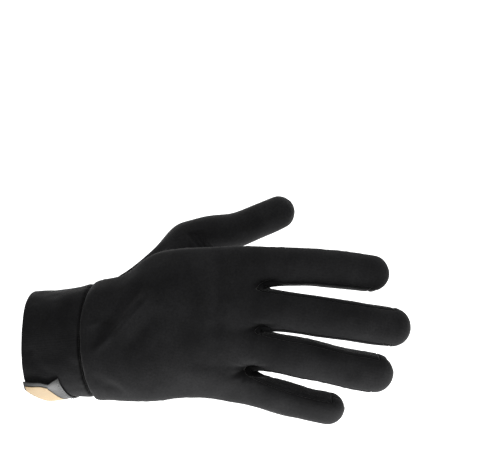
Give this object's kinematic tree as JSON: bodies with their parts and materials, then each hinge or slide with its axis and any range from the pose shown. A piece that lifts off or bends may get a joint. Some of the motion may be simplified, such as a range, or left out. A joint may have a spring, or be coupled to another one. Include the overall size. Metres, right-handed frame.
{
  "type": "glove_liner",
  "caption": "Five-finger glove liner of black stretch jersey for the right hand, with sewn side strips between the fingers, a set-in thumb and a short doubled cuff with a label tab",
  "frame": {"origin": "centre of the wrist opening, in the plane of the cuff's free edge", "axes": "+X runs along the arm from the wrist opening to the fingertips, +Y points to the thumb's side, +Z points out of the back of the hand"},
  "size_m": [0.2172, 0.1326, 0.0591],
  "materials": {
    "jersey": "matte brushed stretch jersey",
    "cuff_jersey": "matte brushed stretch jersey, doubled",
    "label_grey": "smooth coated tape",
    "label_tan": "satin woven label"
  },
  "bodies": {
    "root": {"back_panel": "jersey", "palm_panel": "jersey", "thumb": "jersey", "fourchette_index_middle": "jersey", "fourchette_middle_ring": "jersey", "fourchette_ring_little": "jersey", "cuff": "cuff_jersey", "label_tab": "label_grey", "label_face": "label_tan"}
  },
  "joints": []
}
